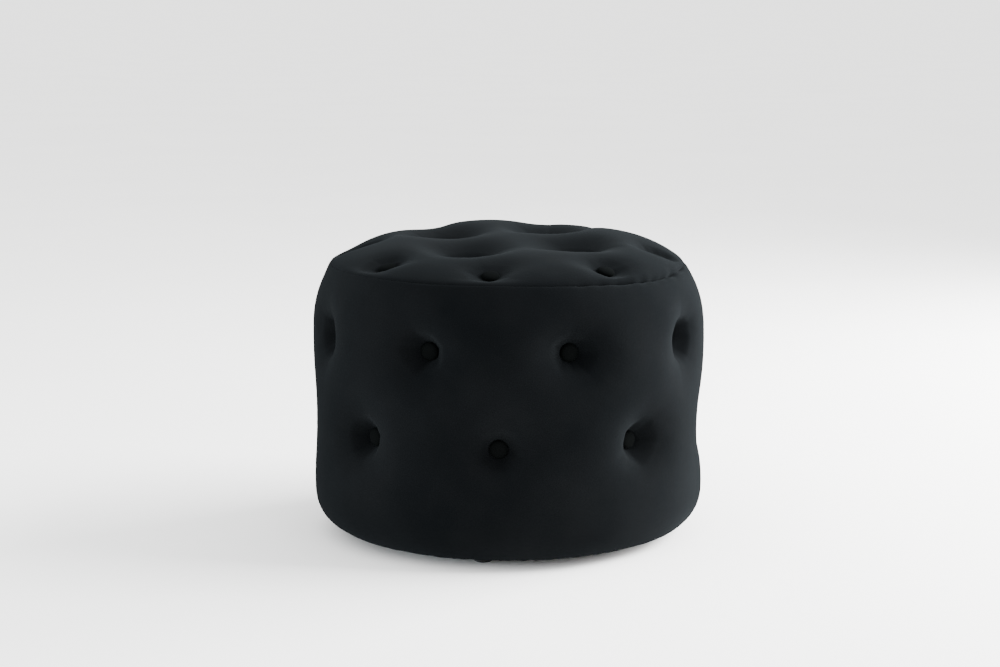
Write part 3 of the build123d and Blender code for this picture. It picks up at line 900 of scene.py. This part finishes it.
# %% Dust cloth material
def dust_cloth_material():
    """Black spun-bonded cloth: a dense mat of short fibres with a grid of small pressed dots."""
    material, place = new_material("dust_cloth_black", "202020")
    drawn_out = add_node(material, "Mapping", Vector=place, Scale=(1, 3, 1))
    fibres = add_node(
        material, "TexNoise", Vector=drawn_out, Scale=LUMP / (1.5 * MM), Detail=4.0, Roughness=0.7
    )
    dots = add_node(material, "TexVoronoi", Vector=place, Scale=1 / (3 * MM), Randomness=0.15)
    shader = add_node(
        material,
        "BsdfPrincipled",
        Base_Color=add_node(material, "ValToRGB", [(0.35, "070708"), (0.7, "131414")], Fac=fibres),
        Roughness=add_node(material, "MapRange", Value=fibres, To_Min=0.7, To_Max=0.95),
        Specular_IOR_Level=0.1,
        Normal=add_node(material, "Bump", Height=dots, Distance=0.25 * MM, Strength=0.6),
    )
    add_node(material, "OutputMaterial", Surface=shader)
    return material


# %% Dust cloth
DUST_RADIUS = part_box("dust_cover")[1][0]
DUST_LOW, DUST_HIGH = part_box("dust_cover")[0][2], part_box("dust_cover")[1][2]
STAPLE_RADIUS = 181 * MM
STAPLE_COUNT = 16
SAG = 1.6 * MM
FOLD_SIZE, FOLD_REACH = 0.3 * MM, 22 * MM
FOLD_END = 60 * MM  # inside this radius the folds die out
CLOTH_THICKNESS = 0.4 * MM


def dust_cloth_points(rings=40):
    """Disc whose height sags as 1 - (r / R)^2, plus folds that fan in from each staple."""
    ring, angle = disc_grid(rings)
    r = DUST_RADIUS * ring / rings
    sag = SAG * (1 - np.minimum(r / STAPLE_RADIUS, 1) ** 2)
    fan = np.cos(STAPLE_COUNT * angle) * np.exp(-np.abs(r - STAPLE_RADIUS) / FOLD_REACH)
    z = (DUST_LOW + DUST_HIGH) / 2 - sag + FOLD_SIZE * fan * fade(r / FOLD_END)
    return turned(r, z, angle), grid_faces(*ring.shape)


dust_points, dust_faces = dust_cloth_points()
dust_cloth = mesh_object("dust_cover_cloth", dust_points, dust_faces, dust_cloth_material())
thick = dust_cloth.modifiers.new("thickness", "SOLIDIFY")
thick.thickness, thick.offset = CLOTH_THICKNESS, 0
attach(dust_cloth, "root")
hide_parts("dust_cover")
print("dust cloth", round(2 * DUST_RADIUS / MM), "mm across")


# %% [markdown]
# ## Frame and fixings
#
# The rest of the CAD nodes stay as they are and only get a finish. Boards are birch plywood, the
# drum's wall is bent hardboard, the uprights are planed pine, and the screws, nails and staples are
# zinc-plated steel. Such pieces come from a machine, so new meshes for them would look the same.


# %% Wood
def wood_material(name, preview, stops, grain, ring, turn):
    """Wood: long thin noise for grain, bands for growth rings, both stretched along the grain."""
    material, place = new_material(name, preview)
    stretched = add_node(material, "Mapping", Vector=place, Scale=(1, 0.06, 1), Rotation=turn)
    fibres = add_node(material, "TexNoise", Vector=stretched, Scale=LUMP / grain, Detail=4.0, Roughness=0.65)
    bands = add_node(
        material,
        "TexWave",
        bands_direction="X",
        Vector=stretched,
        Scale=BAND / ring,
        Distortion=5.0,
        Detail=2.0,
        Detail_Scale=1.5,
    )
    mixed = add_node(material, "Mix", data_type="FLOAT", Factor=0.45, A=fibres, B=bands.outputs["Fac"])
    shader = add_node(
        material,
        "BsdfPrincipled",
        Base_Color=add_node(material, "ValToRGB", stops, Fac=mixed),
        Roughness=add_node(material, "MapRange", Value=fibres, To_Min=0.55, To_Max=0.8),
        Specular_IOR_Level=0.3,
        Normal=add_node(material, "Bump", Height=fibres, Distance=0.2 * MM, Strength=0.5),
    )
    add_node(material, "OutputMaterial", Surface=shader)
    return material


birch_stops = [(0.25, "b98f5c"), (0.5, "d6b787"), (0.75, "e6cfa6")]
plywood = wood_material("plywood_birch", "d9bd8f", birch_stops, 3 * MM, 22 * MM, (0, 0, 0))
pine_stops = [(0.25, "b98849"), (0.5, "dcb67c"), (0.75, "ecd2a0")]
upright_grain = (math.pi / 2, 0, 0)
pine = wood_material("pine_planed", "dcb67c", pine_stops, 2 * MM, 7 * MM, upright_grain)
print("made", plywood.name, "and", pine.name)


# %% Hardboard
def hardboard_material():
    """Brown hardboard: pressed fibres with no direction, slightly glossy from the press."""
    material, place = new_material("hardboard_brown", "7a5534")
    flecks = add_node(material, "TexNoise", Vector=place, Scale=LUMP / (2.5 * MM), Detail=5.0, Roughness=0.7)
    browns = [(0.3, "5c3d23"), (0.55, "7a5534"), (0.75, "936b45")]
    shader = add_node(
        material,
        "BsdfPrincipled",
        Base_Color=add_node(material, "ValToRGB", browns, Fac=flecks),
        Roughness=add_node(material, "MapRange", Value=flecks, To_Min=0.45, To_Max=0.7),
        Normal=add_node(material, "Bump", Height=flecks, Distance=0.15 * MM, Strength=0.4),
    )
    add_node(material, "OutputMaterial", Surface=shader)
    return material


hardboard = hardboard_material()
print("made", hardboard.name)


# %% Steel
def steel_material():
    """Zinc-plated steel: bright, with a fine brushed variation in its gloss."""
    material, place = new_material("steel_zinc_plated", "b9bcc0")
    spots = add_node(material, "TexNoise", Vector=place, Scale=LUMP / (3 * MM), Detail=3.0)
    shader = add_node(
        material,
        "BsdfPrincipled",
        Base_Color=add_node(material, "ValToRGB", [(0.3, "a4a8ac"), (0.7, "c9cccf")], Fac=spots),
        Metallic=1.0,
        Roughness=add_node(material, "MapRange", Value=spots, To_Min=0.25, To_Max=0.45),
    )
    add_node(material, "OutputMaterial", Surface=shader)
    return material


steel = steel_material()
print("made", steel.name)


# %% Twine
def twine_material():
    """Waxed white upholstery twine: tight diagonal strands."""
    material, place = new_material("twine_waxed", "d8d0bd")
    waves = add_node(
        material,
        "TexWave",
        bands_direction="DIAGONAL",
        Vector=place,
        Scale=BAND / (0.6 * MM),
        Distortion=1.0,
    )
    strands = waves.outputs["Fac"]
    shader = add_node(
        material,
        "BsdfPrincipled",
        Base_Color=add_node(material, "ValToRGB", [(0.1, "b9ae96"), (0.8, "e2dbc9")], Fac=strands),
        Roughness=add_node(material, "MapRange", Value=strands, To_Min=0.5, To_Max=0.75),
        Normal=add_node(material, "Bump", Height=strands, Distance=0.25 * MM, Strength=0.7),
    )
    add_node(material, "OutputMaterial", Surface=shader)
    return material


twine = twine_material()
print("made", twine.name)


# %% Moulded plastic
def moulded_material(name, preview, dark, light, smoothest):
    """Moulded plastic: one colour with a fine spark-eroded grain and faint flow marks."""
    material, place = new_material(name, preview)
    grain = add_node(material, "TexNoise", Vector=place, Scale=LUMP / (0.7 * MM), Detail=2.0)
    flow = add_node(material, "TexNoise", Vector=place, Scale=LUMP / (9 * MM), Detail=2.0)
    shader = add_node(
        material,
        "BsdfPrincipled",
        Base_Color=add_node(material, "ValToRGB", [(0.3, dark), (0.7, light)], Fac=flow),
        Roughness=add_node(material, "MapRange", Value=flow, To_Min=smoothest, To_Max=smoothest + 0.15),
        Specular_IOR_Level=0.3,
        Normal=add_node(material, "Bump", Height=grain, Distance=0.08 * MM, Strength=0.5),
    )
    add_node(material, "OutputMaterial", Surface=shader)
    return material


washer_plastic = moulded_material("polypropylene_white", "dcdcd6", "d2d2cb", "e4e4df", 0.4)
glide_plastic = moulded_material("polyethylene_black", "1b1b1c", "0b0b0c", "131314", 0.5)
print("made", washer_plastic.name, "and", glide_plastic.name)

# %% Finishes on the CAD nodes
FINISHES = [
    (plywood, ["base_board", "top_board"]),
    (hardboard, ["drum_wall"]),
    (pine, [f"upright_{k}" for k in range(1, 9)]),
    (steel, ["base_screws", "top_screws", "dust_cover_staples", "glide_nails"]),
    (twine, ["top_twines", "upper_side_twines", "lower_side_twines"]),
    (washer_plastic, ["top_washers", "upper_side_washers", "lower_side_washers"]),
    (glide_plastic, [f"glide_{k}" for k in range(1, 5)]),
]
for material, nodes in FINISHES:
    for node in nodes:
        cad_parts[node].data.materials.clear()
        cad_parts[node].data.materials.append(material)
print("finished CAD nodes:", sum(len(nodes) for _, nodes in FINISHES))

# %% [markdown]
# ## Floor and light
#
# A pale floor, so wide that its edge never shows, and a pale sky stand in for the photographer's
# white background. The main light is a large soft box behind the pouf on the right: it skims the top
# and the right side, which is what makes velvet glow. A second one higher on the right rounds that
# side, and a weak cool one low on the left keeps the left edge apart from black.


# %% Floor
def floor_material():
    """Matt pale studio floor with a very faint unevenness."""
    material, place = new_material("studio_floor_pale", "f4f4f3")
    cloud = add_node(material, "TexNoise", Vector=place, Scale=LUMP / (250 * MM), Detail=2.0)
    shader = add_node(
        material,
        "BsdfPrincipled",
        Base_Color=add_node(material, "ValToRGB", [(0.3, "f8f8f7"), (0.7, "fbfbfa")], Fac=cloud),
        Roughness=0.9,
        Specular_IOR_Level=0.2,
    )
    add_node(material, "OutputMaterial", Surface=shader)
    return material


FLOOR_REACH = 70.0  # so far that the floor fills the picture and no edge of it is in sight
floor_corners = FLOOR_REACH * np.array([[-1, -1, 0], [1, -1, 0], [1, 1, 0], [-1, 1, 0]])
floor = mesh_object("floor", floor_corners, [(0, 1, 2, 3)], floor_material())
print("floor reaches", FLOOR_REACH, "m each way")


# %% Soft lights
def area_light(name, place, target, size, power, colour):
    """Rectangular soft light at a place, turned to shine at a target."""
    data = bpy.data.lights.new(name, "AREA")
    data.shape = "RECTANGLE"
    data.size, data.size_y = size
    data.energy = power
    data.color = linear(colour)[:3]
    light = bpy.data.objects.new(name, data)
    light.location = place
    way = np.array(target) - np.array(place)
    tip = math.acos(-way[2] / np.linalg.norm(way))
    light.rotation_euler = (tip, 0, math.atan2(way[1], way[0]) - math.pi / 2)
    bpy.context.scene.collection.objects.link(light)
    print("light", name, power, "W")


area_light(
    "key_right_back", (2.2, 1.3, 0.7), target=(0, 0, 0.25), size=(1.2, 1.2), power=350, colour="ffffff"
)
area_light("right_soft", (2.1, 0.0, 1.7), target=(0, 0, 0.25), size=(1.2, 1.2), power=215, colour="ffffff")
area_light("left_soft", (-2.5, -0.5, 0.25), target=(0, 0, 0.15), size=(1.4, 0.4), power=60, colour="eaf7ff")

# %% Sky
SKY_STRENGTH = 2.6
world = bpy.data.worlds.new("studio")
bpy.context.scene.world = world
world.use_nodes = True
sky = world.node_tree.nodes["Background"]
sky.inputs["Color"].default_value = linear("ffffff")
sky.inputs["Strength"].default_value = SKY_STRENGTH
print("sky of strength", SKY_STRENGTH)
